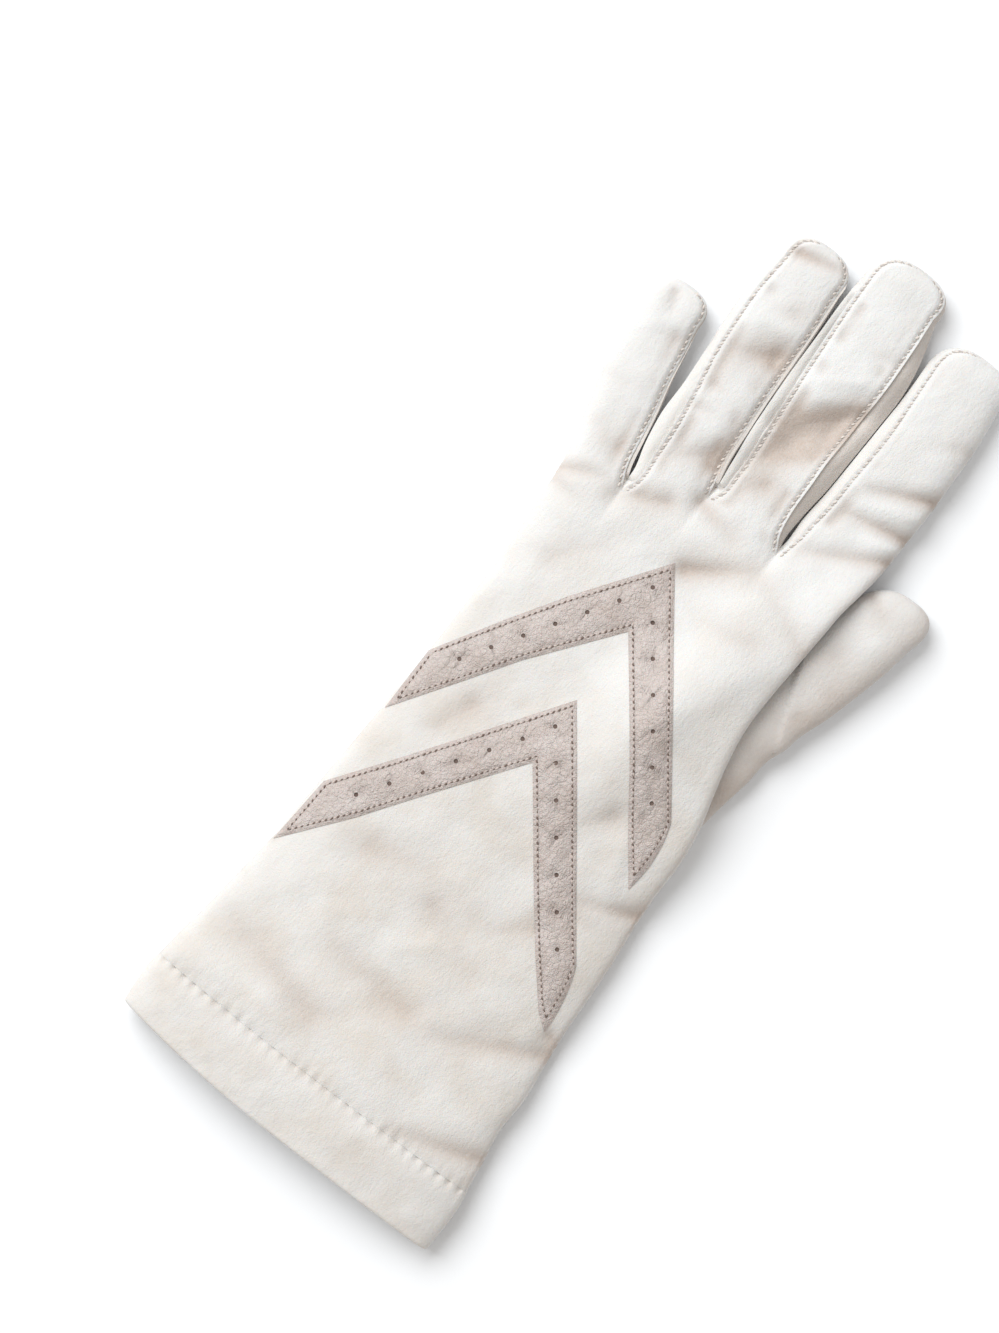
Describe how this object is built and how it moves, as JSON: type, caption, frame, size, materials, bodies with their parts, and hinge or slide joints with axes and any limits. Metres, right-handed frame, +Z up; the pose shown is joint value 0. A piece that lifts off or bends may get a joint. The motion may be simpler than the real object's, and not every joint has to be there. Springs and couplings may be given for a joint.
{
  "type": "driving glove",
  "caption": "Left-hand stretch cloth driving glove with two perforated leather chevrons across the back, lying palm down with its thumb tucked under.",
  "frame": {"origin": "on the flat resting face of the palm, in the middle of the heel of the hand, on the surface that the glove lies on", "axes": "+Z up out of the back of the hand, +Y along the hand from the wrist to the fingertips, +X across it towards the thumb"},
  "size_m": [0.1145, 0.288, 0.0223],
  "materials": {
    "cloth": "matt, closely knitted stretch cloth, ivory",
    "leather": "satin, fine grained, greige"
  },
  "bodies": {
    "root": {"hand_shell": "cloth", "little_ring_fourchette": "cloth", "ring_middle_fourchette": "cloth", "middle_index_fourchette": "cloth", "thumb": "cloth", "cuff_hem": "cloth", "upper_chevron": "leather", "lower_chevron": "leather"}
  },
  "joints": []
}
